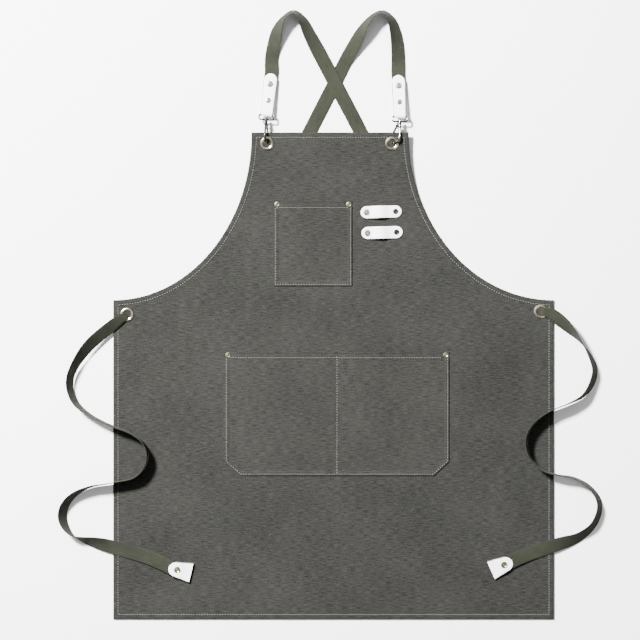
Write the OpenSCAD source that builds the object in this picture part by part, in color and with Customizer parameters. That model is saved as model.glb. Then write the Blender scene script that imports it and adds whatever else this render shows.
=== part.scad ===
// Work apron laid out flat, face up: a canvas panel with two patch pockets and two leather
// tool loops, crossed webbing shoulder straps clipped to the bib by swivel snap hooks, and
// two waist ties. Millimetres: X across the apron, Y from hem to bib, Z up off the surface.

/* [Canvas panel] */
// Width of the skirt
skirt_w = 700; // [690:1:710]
// Height of the skirt's straight sides
side_h = 507; // [500:1:515]
// Height of the cloth from hem to bib top
panel_h = 773; // [765:1:780]
// Width of the bib along its top edge
bib_w = 249; // [240:1:252]
// How far the middle of the bib lies from the middle of the skirt
bib_shift = -5.5; // [-6:0.5:0]
// Thickness of the canvas
canvas_t = 1; // [0.8:0.1:1]
// Depth of the hem turned under every edge
hem_d = 9; // [7:0.5:10]
// Slope of the bib's top stretch, which lies up on the hooks, in degrees
bib_slope = 5.5; // [5.3:0.1:5.6]

/* [Pockets] */
// Width of the bib pocket
bib_pocket_w = 124; // [110:1:130]
// Height of the bib pocket
bib_pocket_h = 134; // [120:1:140]
// Width of the front pocket
front_pocket_w = 356; // [330:1:360]
// Height of the front pocket
front_pocket_h = 196; // [180:1:200]
// Cut-off corner at the bottom of the front pocket
front_chamfer = 24; // [10:1:30]
// Room inside a pocket
pocket_gap = 4.6; // [4.5:0.1:6]

/* [Leather] */
// Length of a tool loop
loop_l = 65; // [64:0.5:70]
// Width of a tool loop
loop_w = 20.5; // [18:0.5:24]
// Length of a strap tab, from the ring bar to its round end
tab_l = 66; // [60:1:70]
// Width of a strap tab at its round end
tab_w = 21.5; // [20:0.5:23]
// Thickness of one leather layer
leather_t = 1.8; // [1.4:0.1:1.8]

/* [Webbing] */
// Width of the webbing
webbing_w = 22; // [20:0.5:22]
// Thickness of the webbing
webbing_t = 1.4; // [1.2:0.1:1.4]

/* [Hardware] */
// Inner radius of an eyelet
eyelet_r = 6.2; // [6:0.1:6.3]
// Outer radius of an eyelet's flange
eyelet_flange_r = 11; // [9.5:0.1:11]
// Radius of the snap hook's rod
rod_r = 1.75; // [1.5:0.05:1.8]
// Radius of the hook's bend, to the middle of its rod
bend_r = 9; // [8.8:0.1:9]
// Radius of the ring's wire
wire_r = 1.3; // [1.2:0.05:1.3]

/* [Hidden] */
$fn = 48;

// Everything below is drawn with Y counted from the hem, then moved by hem_y so that the
// apron's bounding box is centred on the origin.
hem_y = -482.8;

// Heights of the cloth layers above the surface
hem_t = 2.4;
canvas_top = hem_t + canvas_t;

// The bib is flat up to this line and slopes up beyond it
fold_y = 672;
arm_depth = panel_h - side_h;
arm_steps = 24;

// Eyelets: the bib pair is placed on the sloping cloth, the side pair on the flat cloth
bib_eyelets = [[-105.3, 755.5], [92.5, 755.5]];
side_eyelets = [[-328, 484], [329, 489]];
barrel_t = 0.5;
washer_t = 0.8;
washer_inset = 1;
hem_notch_r = 12.5;
// The way out of that hole to the top edge, for the snap hook's gate
gate_slot = [-5, 9.5];

// Pockets: middle of the bottom edge
bib_pocket_at = [-32.6, 529.5];
front_pocket_at = [5.5, 228.3];
pocket_flange = 5;
pocket_wall = 1.2;
pocket_mouth_inset = 10;
rivet_inset = 5.2;
rivet_drop = 4.5;
rivet_cap_r = 4.6;
tab_cap_r = [5, 4.4];
loop_cap_r = 4.5;
tip_cap_r = 5.3;
tab_back_t = 0.6;
shaft_r = 1.5;
shaft_gap = 0.05;

// Tool loops: middle, tilt, and where the stud, the rivet and the bend lie along them
loops_at = [[75.5, 647], [77, 614.2]];
loop_tilt = 1.8;
loop_stud_x = -23;
loop_rivet_x = 23;
loop_bend_x = 15.5;
loop_bend_z = 1.2;
loop_end_z = 1.9;
loop_rise = 4.6;
socket_r = 1.75;
socket_wall = 0.65;

// Snap hooks: middle of the bend, heading, dip and roll of each, in the order left, right
hooks_at = [[-108.6, 769.5, 19.2], [104.6, 765.4, 17]];
hook_heading = [5, 1];
hook_dip = [19, 11];
hook_roll = [-20, 55];
spine_l = 14;
return_x = 2 * bend_r;
nose_l = 4;
gate_pin_x = 5;
gate_pin_y = 18;
gate_pin_r = 0.8;
gate_tip = [14.9, 4.2];
gate_t = 2;
gate_eye_r = 1.7;
gate_tip_r = 1.2;
ear_t = 1;
collar_y = 21.2;
boss_y = 24.5;
ring_bar_y = 33.5;
ring_half_w = 11.6;
ring_corner_r = 3;

// Strap tabs: dip of each tab towards the surface, and its skew on the ring bar
tab_dip = [4.9, 6.9];
tab_skew = [1, -3];
tab_slit = 1.6;
tab_bar_w = 18.4;
tab_stud_y = 49;
tab_rivet_y = 22.5;
strap_end_from = 15;
strap_end_to = 64;

// Waist tie tips
tip_l = 36.5;
tip_w = 32;
tip_layer_t = 1.5;
tip_rivet_x = 14;
tips_at = [[-261.6, 82.2, -13], [283.3, 92.7, 204]];

// Webbing routes: x, y, height of the lower edge, tilt, width. Folded webbing is narrower
// and thicker.
strap_left_route = [
    [-98, 892, 0.3, 0, 22], [-94, 915, 0.1, -15, 22], [-89, 936, 1, -42, 22],
    [-79, 954, 3, -68, 22], [-64, 963, 4, -66, 22], [-50, 951, 3, -48, 22],
    [-39, 930, 1, -28, 22], [-26, 905, 2, -8, 22], [-12, 879, 2, 0, 22], [2, 852, 2, 0, 22],
    [16, 825, 2, 0, 22], [29, 801, 0.8, 0, 22], [42, 776, 0.1, 0, 22],
    [62, 735, 0.1, 0, 22], [82, 680, 0.1, 0, 22], [98, 620, 0.1, 0, 22],
    [118, 565, 0.1, 0, 22], [152, 512, 0.1, 0, 22], [200, 480, 0.1, 0, 22],
    [262, 470, 0.1, 0, 22], [300, 476, 0.1, 0, 22], [325, 483, 0.1, 0, 22]
];
strap_right_route = [
    [103, 884, 0.6, 0, 22], [102, 908, 0.1, 15, 22], [98, 932, 1, 34, 22],
    [90, 953, 3, 54, 22], [77, 963, 4, 68, 22], [62, 957, 4, 70, 22], [47, 938, 3, 50, 22],
    [33, 912, 0.4, 20, 22], [18, 884, 0.1, 0, 22], [2, 852, 0.1, 0, 22],
    [-12, 825, 0.1, 0, 22], [-36, 778, 0.1, 0, 22], [-58, 735, 0.1, 0, 22],
    [-80, 680, 0.1, 0, 22], [-98, 620, 0.1, 0, 22], [-118, 565, 0.1, 0, 22],
    [-152, 512, 0.1, 0, 22], [-200, 478, 0.1, 0, 22], [-262, 467, 0.1, 0, 22],
    [-300, 472, 0.1, 0, 22], [-325, 480, 0.1, 0, 22]
];
tie_left_route = [
    [-328, 484, 0.8, 0, 10], [-328.6, 483.6, 2.6, 0, 10], [-331, 481.8, 5.2, -8, 11],
    [-338, 477, 5.4, -18, 15], [-354, 464, 5, -28, 20], [-386, 436, 7, -40, 22],
    [-410, 402, 4, -60, 22], [-418, 374, 2, -65, 22], [-409, 345, 1, -72, 22],
    [-386, 325, 1.5, -84, 22], [-354, 309, 3.6, -88, 22], [-321, 296, 3.6, -90, 22],
    [-301, 280, 3.6, -90, 22], [-295, 260, 3.6, -90, 22], [-301, 240, 3.6, -90, 22],
    [-318, 225, 3.6, -90, 22], [-354, 217, 3.6, -86, 22], [-386, 211, 1.5, -80, 22],
    [-412, 198, 0.1, -68, 22], [-427, 179, 0.1, -58, 22], [-429, 158, 0.1, -60, 22],
    [-418, 138, 0.1, -82, 22], [-402, 129, 0.6, -112, 22], [-374, 121.5, 2.4, -150, 22],
    [-350, 115, 3.6, -170, 22], [-302, 101.5, 4.4, -180, 22], [-276, 91.5, 5.05, -180, 22],
    [-254.8, 80.7, 5.05, -180, 22]
];
tie_right_route = [
    [329, 489, 0.8, 0, 10], [329.7, 489, 2.6, 0, 10], [332, 488.6, 5.2, 0, 12],
    [341, 487, 5.4, 8, 16], [353, 480, 4.8, 24, 20], [370, 465, 4, 50, 22],
    [387, 446, 3, 82, 22], [404, 422, 2, 108, 22], [414, 397, 1, 120, 22],
    [409, 374, 0.1, 120, 22], [395, 355, 1, 110, 22], [372, 343, 3, 98, 22],
    [345, 332, 3.6, 96, 22], [322, 316, 3.6, 101, 22], [309, 298, 3.6, 106, 22],
    [306, 278, 3.6, 108, 22], [313, 256, 3.6, 104, 22], [331, 238, 3.6, 96, 22],
    [355, 230, 3, 92, 22], [381, 225, 1, 96, 22], [405, 211, 0.1, 106, 22],
    [420, 190, 0.1, 116, 22], [420, 168, 0.1, 122, 22], [409, 147, 0.1, 126, 22],
    [387, 130, 0.4, 140, 22], [358, 120, 3, 165, 22], [322, 108.5, 4, 180, 22],
    [297, 99.5, 5.05, 180, 22], [276.9, 90, 5.05, 180, 22]
];

// ---- Helpers ----

module from_hem() translate([0, hem_y, 0]) children();

// Moves cloth drawn flat on to the sloping top of the bib
module on_slope()
    translate([0, fold_y, hem_t]) rotate([bib_slope, 0, 0])
        translate([0, -fold_y, -hem_t]) children();

// One side's armhole, a quarter ellipse, set in from the cloth's edge by d
function armhole(side, d) =
    let (half = skirt_w / 2,
         a = half - bib_w / 2 - side * bib_shift + d,
         b = arm_depth + d,
         from = asin(d / a),
         to = acos(d / b))
    [for (i = [0:arm_steps])
        let (t = from + (to - from) * i / arm_steps)
        [side * (half - a * sin(t)), panel_h - b * cos(t)]];

function reversed(list) = [for (i = [len(list) - 1:-1:0]) list[i]];

// Outline of the whole cloth, set in by d
function panel_shape(d) = concat(
    [[-skirt_w / 2 + d, d], [skirt_w / 2 - d, d]],
    armhole(1, d),
    reversed(armhole(-1, d)));

// A stadium outline from x0 to x1 with round ends where asked
function round_end(x, r, from, steps = 16) =
    [for (i = [0:steps]) [x + r * cos(from + 180 * i / steps), r * sin(from + 180 * i / steps)]];

// The canvas seen from the side: flat up to the fold, then up the slope
function side_profile() =
    let (l = panel_h - fold_y, c = cos(bib_slope), s = sin(bib_slope))
    [[-1, hem_t], [fold_y, hem_t], [fold_y + l * c, hem_t + l * s],
     [fold_y + l * c - canvas_t * s, hem_t + l * s + canvas_t * c],
     [fold_y - canvas_t * tan(bib_slope / 2), canvas_top], [-1, canvas_top]];

module below_fold() translate([-skirt_w, -1]) square([2 * skirt_w, fold_y + 1]);
module above_fold() translate([-skirt_w, fold_y]) square([2 * skirt_w, panel_h]);

// Outline of a patch pocket, bottom edge on y = 0, set in by m, its mouth narrowed by k
function pocket_shape(w, h, c, m, k, top) =
    let (x = w / 2 - m, q = max(m, c + 0.414 * m))
    [[-x + q - m, m], [x - q + m, m], [x, q], [x, h - k - 6], [x - k, h - 6], [x - k, top],
     [-x + k, top], [-x + k, h - 6], [-x, h - k - 6], [-x, q]];

// A patch pocket: flat stitched border, raised front, open at the top
module pocket(w, h, c, cells) {
    m = pocket_flange;
    cell_w = (w - 2 * m - (cells + 1) * pocket_wall) / cells;
    translate([0, 0, canvas_top]) difference() {
        union() {
            linear_extrude(canvas_t) polygon(pocket_shape(w, h, c, 0, 0, h));
            linear_extrude(pocket_gap + canvas_t)
                polygon(pocket_shape(w, h, c, m, pocket_mouth_inset, h));
        }
        translate([0, 0, -1]) linear_extrude(pocket_gap + 1) intersection() {
            polygon(pocket_shape(w, h, c, m + pocket_wall, pocket_mouth_inset, h + 1));
            for (i = [0:cells - 1])
                translate([(i - cells / 2) * (cell_w + pocket_wall) + pocket_wall / 2, 0])
                    square([cell_w, h + 1]);
        }
        for (s = [-1, 1])
            translate([s * (w / 2 - rivet_inset), h - rivet_drop, -1])
                cylinder(h = 3 * canvas_t, r = shaft_r + shaft_gap);
    }
}

// A tubular rivet through a stack of the given thickness, standing on its underside
module rivet(grip, cap_r, back_t = washer_t) {
    if (back_t > 0) translate([0, 0, -back_t]) cylinder(h = back_t, r = cap_r * 0.85);
    cylinder(h = grip, r = shaft_r);
    translate([0, 0, grip]) rotate_extrude()
        polygon([[0, 0], [cap_r, 0], [cap_r, 0.3], [cap_r * 0.9, 0.8], [cap_r * 0.62, 1.05],
                 [cap_r * 0.5, 0.75], [cap_r * 0.32, 0.75], [cap_r * 0.24, 1.2], [0, 1.3]]);
}

// An eyelet pressed through cloth whose underside is at z = 0
module eyelet()
    rotate_extrude() polygon([
        [eyelet_r, -washer_t - 0.1], [eyelet_r + barrel_t, -washer_t - 0.1],
        [eyelet_r + barrel_t, canvas_t], [eyelet_flange_r, canvas_t],
        [eyelet_flange_r, canvas_t + 0.3], [eyelet_flange_r - 0.6, canvas_t + 0.8],
        [eyelet_flange_r - 1.9, canvas_t + 1.15], [eyelet_r + 1.3, canvas_t + 1.1],
        [eyelet_r + 0.4, canvas_t + 0.75], [eyelet_r, canvas_t + 0.2]]);

module eyelet_washer()
    translate([0, 0, -washer_t]) difference() {
        cylinder(h = washer_t, r = eyelet_flange_r - washer_inset);
        translate([0, 0, -1]) cylinder(h = washer_t + 2, r = eyelet_r + barrel_t + shaft_gap);
    }

// Places children at bib eyelet i or side eyelet i, with the cloth's underside at z = 0
module at_bib_eyelet(i)
    on_slope() translate([bib_eyelets[i].x, bib_eyelets[i].y, hem_t]) children();
module at_side_eyelet(i)
    translate([side_eyelets[i].x, side_eyelets[i].y, hem_t]) children();

// Places children at the pocket rivets, with the cloth's underside at z = 0
module at_pocket_rivets(at, w, h)
    for (s = [-1, 1])
        translate([at.x + s * (w / 2 - rivet_inset), at.y + h - rivet_drop, hem_t]) children();

// ---- Webbing ----

function unit(v) = v / norm(v);

// Middle of the webbing at a route row
function row_middle(r) =
    let (t = webbing_t * webbing_w / r[4])
    [r[0], r[1], r[2] + abs(cos(r[3])) * t / 2 + abs(sin(r[3])) * r[4] / 2];

// One eight-sided section at p, across direction along, turned by tilt about it
function section(p, along, tilt, w) =
    let (t = webbing_t * webbing_w / w,
         side = unit([-along.y, along.x, 0]),
         up = cross(along, side),
         wide = side * cos(tilt) + up * sin(tilt),
         thin = up * cos(tilt) - side * sin(tilt),
         c = 0.3)
    [for (q = [[1, -1, 0], [1, 1, 0], [1, 1, 1], [-1, 1, 1], [-1, 1, 0], [-1, -1, 0],
               [-1, -1, 1], [1, -1, 1]])
        p + wide * q[0] * (w / 2 - q[2] * c) + thin * q[1] * (t / 2 - (1 - q[2]) * c)];

// A closed band of webbing through the middles, one section at each
module band(middles, tilts, widths) {
    n = len(middles);
    rings = [for (i = [0:n - 1])
        let (a = middles[max(i - 1, 0)], b = middles[min(i + 1, n - 1)])
        each section(middles[i], unit(b - a), tilts[i], widths[i])];
    sides = [for (i = [0:n - 2], j = [0:7])
        let (k = (j + 1) % 8)
        [8 * i + j, 8 * i + k, 8 * i + 8 + k, 8 * i + 8 + j]];
    polyhedron(rings, concat([[for (j = [7:-1:0]) j]], sides,
        [[for (j = [0:7]) 8 * (n - 1) + j]]), convexity = 6);
}

module webbing(route) band(
    [for (r = route) row_middle(r)], [for (r = route) r[3]], [for (r = route) r[4]]);

// Point on the middle line of tab i, at distance d from its ring bar
function tab_point(i, d) =
    let (h = hook_heading[i] + tab_skew[i])
    ring_point(i, ring_bar_y) + d * [sin(h) * cos(tab_dip[i]), cos(h) * cos(tab_dip[i]), -sin(tab_dip[i])];

// Point on the long axis of hook i, at distance y from the middle of its bend
function ring_point(i, y) =
    let (h = hook_heading[i], dip = hook_dip[i])
    hooks_at[i] + y * [sin(h) * cos(dip), cos(h) * cos(dip), -sin(dip)];

module shoulder_strap(i, route) {
    start = [tab_point(i, strap_end_to + 1), tab_point(i, strap_end_to + 8)];
    band(concat(start, [for (r = route) row_middle(r)]),
         concat([0, 0], [for (r = route) r[3]]),
         concat([webbing_w, webbing_w], [for (r = route) r[4]]));
}

// ---- Snap hooks ----

// Hook i's own frame: Y along its shank towards the strap, -Z towards its mouth
module at_hook(i)
    translate(hooks_at[i]) rotate([0, 0, -hook_heading[i]]) rotate([-hook_dip[i], 0, 0])
        rotate([0, hook_roll[i], 0]) children();

// Drawn flat in X and Y, mouth towards +X, then stood up into the hook's frame
module hook_plane() rotate([0, 90, 0]) children();

module ring_frame(i)
    translate(hooks_at[i]) rotate([0, 0, -hook_heading[i]]) rotate([-hook_dip[i], 0, 0])
        children();

module tab_frame(i)
    translate(ring_point(i, ring_bar_y)) rotate([0, 0, -hook_heading[i]])
        rotate([-tab_dip[i], 0, 0]) children();

module hook_body_shape() hook_plane() {
    // shank, bend and nose
    rotate([-90, 0, 0]) cylinder(h = spine_l + 1, r = rod_r);
    translate([bend_r, 0, 0]) rotate([0, 0, 180])
        rotate_extrude(angle = 180) translate([bend_r, 0]) circle(rod_r);
    translate([return_x, 0, 0]) rotate([-90, 0, 0]) cylinder(h = nose_l, r = rod_r);
    translate([return_x, nose_l, 0]) sphere(rod_r);
    // swelling that carries the gate, and the swivel post with its head
    rotate([-90, 0, 0]) rotate_extrude()
        polygon([[0, spine_l], [rod_r, spine_l], [3, spine_l + 2.5], [3, spine_l + 5],
                 [2.1, collar_y - 1], [2.6, collar_y], [2.6, boss_y - 1.9],
                 [1.2, boss_y - 1.9], [1.2, boss_y + 1.9], [2.2, boss_y + 1.9],
                 [1.9, boss_y + 3.2], [0, boss_y + 3.6]]);
    difference() {
        for (s = [-1, 1])
            translate([0, 0, s * (gate_t / 2 + ear_t / 2 + 0.1) - ear_t / 2])
                linear_extrude(ear_t)
                    polygon([[0, 15], [gate_pin_x, gate_pin_y - 2], [gate_pin_x + 1.7, gate_pin_y - 1],
                             [gate_pin_x + 1.7, gate_pin_y + 1], [gate_pin_x, gate_pin_y + 2],
                             [0, 20.5]]);
        translate([gate_pin_x, gate_pin_y, -5]) cylinder(h = 10, r = gate_pin_r + 0.02);
    }
}

module hook_gate_shape() hook_plane() difference() {
    translate([0, 0, -gate_t / 2]) hull() {
        translate([gate_pin_x, gate_pin_y, 0]) cylinder(h = gate_t, r = gate_eye_r);
        translate([gate_tip.x, gate_tip.y, 0]) cylinder(h = gate_t, r = gate_tip_r);
    }
    translate([gate_pin_x, gate_pin_y, -5]) cylinder(h = 10, r = gate_pin_r + 0.05);
}

module gate_pin_shape() hook_plane()
    translate([gate_pin_x, gate_pin_y, -2.5]) cylinder(h = 5, r = gate_pin_r);

// The leaf spring that holds the gate shut, from the shank to the gate's inner face
module gate_spring_shape() hook_plane()
    translate([0, 0, -0.5]) linear_extrude(1)
        polygon([[rod_r + 0.05, 9], [rod_r + 0.45, 9], [rod_r + 0.9, 12.6],
                 [4.6, 14.2], [4.3, 14.6], [rod_r + 0.5, 13], [rod_r + 0.05, 10]]);

module ring_side(x, y0, y1) translate([x, y0, 0]) rotate([-90, 0, 0]) cylinder(h = y1 - y0, r = wire_r);
module ring_bar(y) translate([-ring_half_w + ring_corner_r, y, 0]) rotate([0, 90, 0])
    cylinder(h = 2 * (ring_half_w - ring_corner_r), r = wire_r);

module hook_ring_shape() {
    r = ring_corner_r;
    difference() {
        union() {
            for (s = [-1, 1]) ring_side(s * ring_half_w, boss_y + r, ring_bar_y - r);
            ring_bar(boss_y);
            ring_bar(ring_bar_y);
            for (q = [[1, 1, 0], [-1, 1, 90], [-1, -1, 180], [1, -1, 270]])
                translate([q[0] * (ring_half_w - r), (q[1] > 0 ? ring_bar_y - r : boss_y + r), 0])
                    rotate([0, 0, q[2]])
                        rotate_extrude(angle = 90) translate([r, 0]) circle(wire_r);
            translate([0, boss_y - 1.7, 0]) rotate([-90, 0, 0]) cylinder(h = 3.4, r = 2.7);
        }
        translate([0, boss_y - 5, 0]) rotate([-90, 0, 0]) cylinder(h = 10, r = 1.27);
    }
}

// ---- Strap tabs ----

// Tab outline seen from above, with the bar at y = 0
function tab_outline(i) =
    let (r = tab_w / 2, skew = tan(tab_skew[i]))
    [for (p = concat([[-tab_bar_w / 2, -4], [tab_bar_w / 2, -4]],
            [for (q = round_end(0, r, 0)) [q.x, tab_l - r + q.y]]))
        [p.x + p.y * skew, p.y]];

module tab_holes(i, r)
    for (y = [tab_stud_y, tab_rivet_y])
        translate([y * tan(tab_skew[i]), y, -10]) cylinder(h = 20, r = r);

module tab_shape(i) {
    half = leather_t + tab_slit / 2;
    wrap_r = wire_r + 0.1 + leather_t;
    difference() {
        intersection() {
            translate([0, 0, -10]) linear_extrude(20) polygon(tab_outline(i));
            union() {
                rotate([0, 90, 0]) translate([0, 0, -20]) cylinder(h = 40, r = wrap_r);
                translate([-20, 0, -half]) cube([40, tab_l + 1, 2 * half]);
            }
        }
        rotate([0, 90, 0]) translate([0, 0, -30]) cylinder(h = 60, r = wire_r + 0.1);
        translate([-20, 8, -tab_slit / 2]) cube([40, tab_l, tab_slit]);
        tab_holes(i, shaft_r + shaft_gap);
    }
}

module strap_end_shape(i) {
    skew = tan(tab_skew[i]);
    hw = webbing_w / 2 - 0.5;
    difference() {
        translate([0, 0, -webbing_t / 2]) linear_extrude(webbing_t)
            polygon([for (p = [[-8.6, strap_end_from], [8.6, strap_end_from], [hw, 40],
                               [hw, strap_end_to], [-hw, strap_end_to], [-hw, 40]])
                [p.x + p.y * skew, p.y]]);
        tab_holes(i, shaft_r + shaft_gap);
    }
}

module tab_rivets_shape(i) {
    half = leather_t + tab_slit / 2;
    translate([tab_stud_y * tan(tab_skew[i]), tab_stud_y, -half])
        rivet(2 * half, tab_cap_r[0], tab_back_t);
    translate([tab_rivet_y * tan(tab_skew[i]), tab_rivet_y, -half])
        rivet(2 * half, tab_cap_r[1], tab_back_t);
}

// ---- Tool loops ----

module at_loop(i)
    translate([loops_at[i].x, loops_at[i].y, canvas_top]) rotate([0, 0, loop_tilt]) children();

// Height of the loop strap's middle at x: low at the bend, arched, low again at the stud
function ease(a, b, x) = let (t = min(1, max(0, (x - a) / (b - a)))) t * t * (3 - 2 * t);
function loop_z(x) =
    let (away = (loop_bend_x - x) / (loop_bend_x - loop_stud_x))
    loop_bend_z + (loop_end_z - loop_bend_z) * min(1, away)
        + loop_rise * ease(-16, -7, x) * (1 - ease(6, 14, x));

module loop_strap_shape() {
    r = loop_w / 2;
    xs = [for (i = [0:40]) loop_bend_x - i * (loop_l / 2 + loop_bend_x) / 40];
    difference() {
        intersection() {
            union() {
                rotate([90, 0, 0]) translate([0, 0, -r]) linear_extrude(2 * r)
                    polygon(concat([for (x = xs) [x, loop_z(x) + leather_t / 2]],
                                   [for (x = reversed(xs)) [x, loop_z(x) - leather_t / 2]]));
                translate([loop_bend_x, -r, loop_bend_z]) rotate([-90, 0, 0])
                    cylinder(h = 2 * r, r = leather_t / 2);
            }
            linear_extrude(20) polygon(concat(
                [[loop_bend_x + 2, -r], [loop_bend_x + 2, r]],
                round_end(-loop_l / 2 + r, r, 90)));
        }
        translate([loop_stud_x, 0, -1]) cylinder(h = 10, r = socket_r + socket_wall + shaft_gap);
    }
}

module loop_anchor_shape() {
    r = loop_w / 2;
    difference() {
        linear_extrude(leather_t) polygon(concat(
            round_end(loop_l / 2 - r, r, -90),
            [[loop_bend_x + 1.3, r], [loop_bend_x + 1.3, -r]]));
        translate([loop_rivet_x, 0, -1]) cylinder(h = 10, r = shaft_r + shaft_gap);
    }
}

// Press stud cap on the loop strap, with the socket under it
module loop_cap_shape()
    translate([loop_stud_x, 0, 0]) rotate_extrude() polygon([
        [socket_r, 0.75], [socket_r + socket_wall, 0.75],
        [socket_r + socket_wall, loop_end_z + 0.95], [5, loop_end_z + 0.95],
        [5, loop_end_z + 1.3], [4.4, loop_end_z + 1.9], [3.2, loop_end_z + 2.1],
        [2.6, loop_end_z + 1.6], [1.2, loop_end_z + 1.6], [0, loop_end_z + 1.8],
        [0, loop_end_z + 0.95], [socket_r, loop_end_z + 0.95]]);

// The stud that the cap presses on to, riveted through the canvas
module loop_stud_shape() translate([loop_stud_x, 0, 0]) {
    cylinder(h = 0.6, r = 4.5);
    cylinder(h = 2.5, r = 1.5);
    translate([0, 0, -canvas_t - washer_t]) cylinder(h = canvas_t + washer_t, r = shaft_r);
    translate([0, 0, -canvas_t - washer_t]) cylinder(h = washer_t, r = 4);
}

// ---- Sub-parts ----

canvas_color = [0.36, 0.36, 0.33];
webbing_color = [0.30, 0.33, 0.24];
leather_color = [0.93, 0.92, 0.92];
nickel_color = [0.75, 0.75, 0.72];
brass_color = [0.72, 0.60, 0.38];

module canvas_panel() color(canvas_color) from_hem() difference() {
    intersection() {
        rotate([90, 0, 90]) translate([0, 0, -skirt_w])
            linear_extrude(2 * skirt_w) polygon(side_profile());
        linear_extrude(4 * eyelet_r) polygon(panel_shape(0));
    }
    for (i = [0, 1]) {
        at_bib_eyelet(i) cylinder(h = 10, r = eyelet_r + barrel_t + shaft_gap, center = true);
        at_side_eyelet(i) cylinder(h = 10, r = eyelet_r + barrel_t + shaft_gap, center = true);
        at_loop(i) for (x = [loop_stud_x, loop_rivet_x])
            translate([x, 0, 0]) cylinder(h = 10, r = shaft_r + shaft_gap, center = true);
    }
    at_pocket_rivets(bib_pocket_at, bib_pocket_w, bib_pocket_h)
        cylinder(h = 10, r = shaft_r + shaft_gap, center = true);
    at_pocket_rivets(front_pocket_at, front_pocket_w, front_pocket_h)
        cylinder(h = 10, r = shaft_r + shaft_gap, center = true);
}

module hem_ring() difference() {
    polygon(panel_shape(0));
    polygon(panel_shape(hem_d));
}

module skirt_hem() color(canvas_color * 0.9) from_hem()
    linear_extrude(hem_t) intersection() {
        hem_ring();
        below_fold();
    }

module bib_hem() color(canvas_color * 0.9) from_hem() difference() {
    on_slope() linear_extrude(hem_t) intersection() {
        hem_ring();
        above_fold();
    }
    for (i = [0, 1]) at_bib_eyelet(i) mirror([1 - i, 0, 0]) {
        cylinder(h = 10, r = hem_notch_r, center = true);
        translate([gate_slot[0], 0, -5]) cube([gate_slot[1] - gate_slot[0], 30, 10]);
    }
}

module bib_pocket() color(canvas_color * 1.05) from_hem()
    translate(bib_pocket_at) pocket(bib_pocket_w, bib_pocket_h, 0, 1);
module front_pocket() color(canvas_color * 1.05) from_hem()
    translate(front_pocket_at) pocket(front_pocket_w, front_pocket_h, front_chamfer, 2);

module bib_pocket_rivets() color(nickel_color) from_hem()
    at_pocket_rivets(bib_pocket_at, bib_pocket_w, bib_pocket_h) rivet(2 * canvas_t, rivet_cap_r);
module front_pocket_rivets() color(brass_color) from_hem()
    at_pocket_rivets(front_pocket_at, front_pocket_w, front_pocket_h)
        rivet(2 * canvas_t, rivet_cap_r);

module bib_eyelet_left() color(brass_color) from_hem() at_bib_eyelet(0) eyelet();
module bib_eyelet_right() color(brass_color) from_hem() at_bib_eyelet(1) eyelet();
module side_eyelet_left() color(brass_color) from_hem() at_side_eyelet(0) eyelet();
module side_eyelet_right() color(brass_color) from_hem() at_side_eyelet(1) eyelet();
module eyelet_washers() color(brass_color) from_hem()
    for (i = [0, 1]) {
        at_bib_eyelet(i) eyelet_washer();
        at_side_eyelet(i) eyelet_washer();
    }

module shoulder_strap_left() color(webbing_color) from_hem() shoulder_strap(0, strap_left_route);
module shoulder_strap_right() color(webbing_color) from_hem() shoulder_strap(1, strap_right_route);
module strap_end_left() color(webbing_color) from_hem() tab_frame(0) strap_end_shape(0);
module strap_end_right() color(webbing_color) from_hem() tab_frame(1) strap_end_shape(1);

module tab_left() color(leather_color) from_hem() tab_frame(0) tab_shape(0);
module tab_right() color(leather_color) from_hem() tab_frame(1) tab_shape(1);
module tab_rivets_left() color(nickel_color) from_hem() tab_frame(0) tab_rivets_shape(0);
module tab_rivets_right() color(nickel_color) from_hem() tab_frame(1) tab_rivets_shape(1);

module hook_ring_left() color(nickel_color) from_hem() ring_frame(0) hook_ring_shape();
module hook_ring_right() color(nickel_color) from_hem() ring_frame(1) hook_ring_shape();
module hook_body_left() color(nickel_color) from_hem() at_hook(0) hook_body_shape();
module hook_body_right() color(nickel_color) from_hem() at_hook(1) hook_body_shape();
module hook_gate_left() color(nickel_color) from_hem() at_hook(0) hook_gate_shape();
module hook_gate_right() color(nickel_color) from_hem() at_hook(1) hook_gate_shape();
module gate_pin_left() color(nickel_color) from_hem() at_hook(0) gate_pin_shape();
module gate_pin_right() color(nickel_color) from_hem() at_hook(1) gate_pin_shape();
module gate_spring_left() color(nickel_color) from_hem() at_hook(0) gate_spring_shape();
module gate_spring_right() color(nickel_color) from_hem() at_hook(1) gate_spring_shape();

module loop_strap_upper() color(leather_color) from_hem() at_loop(0) loop_strap_shape();
module loop_strap_lower() color(leather_color) from_hem() at_loop(1) loop_strap_shape();
module loop_anchor_upper() color(leather_color) from_hem() at_loop(0) loop_anchor_shape();
module loop_anchor_lower() color(leather_color) from_hem() at_loop(1) loop_anchor_shape();
module loop_rivet(i) at_loop(i) translate([loop_rivet_x, 0, -canvas_t])
    rivet(canvas_t + leather_t, loop_cap_r);
module loop_rivet_upper() color(nickel_color) from_hem() loop_rivet(0);
module loop_rivet_lower() color(nickel_color) from_hem() loop_rivet(1);
module loop_cap_upper() color(nickel_color) from_hem() at_loop(0) loop_cap_shape();
module loop_cap_lower() color(nickel_color) from_hem() at_loop(1) loop_cap_shape();
module loop_stud_upper() color(nickel_color) from_hem() at_loop(0) loop_stud_shape();
module loop_stud_lower() color(nickel_color) from_hem() at_loop(1) loop_stud_shape();

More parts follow.
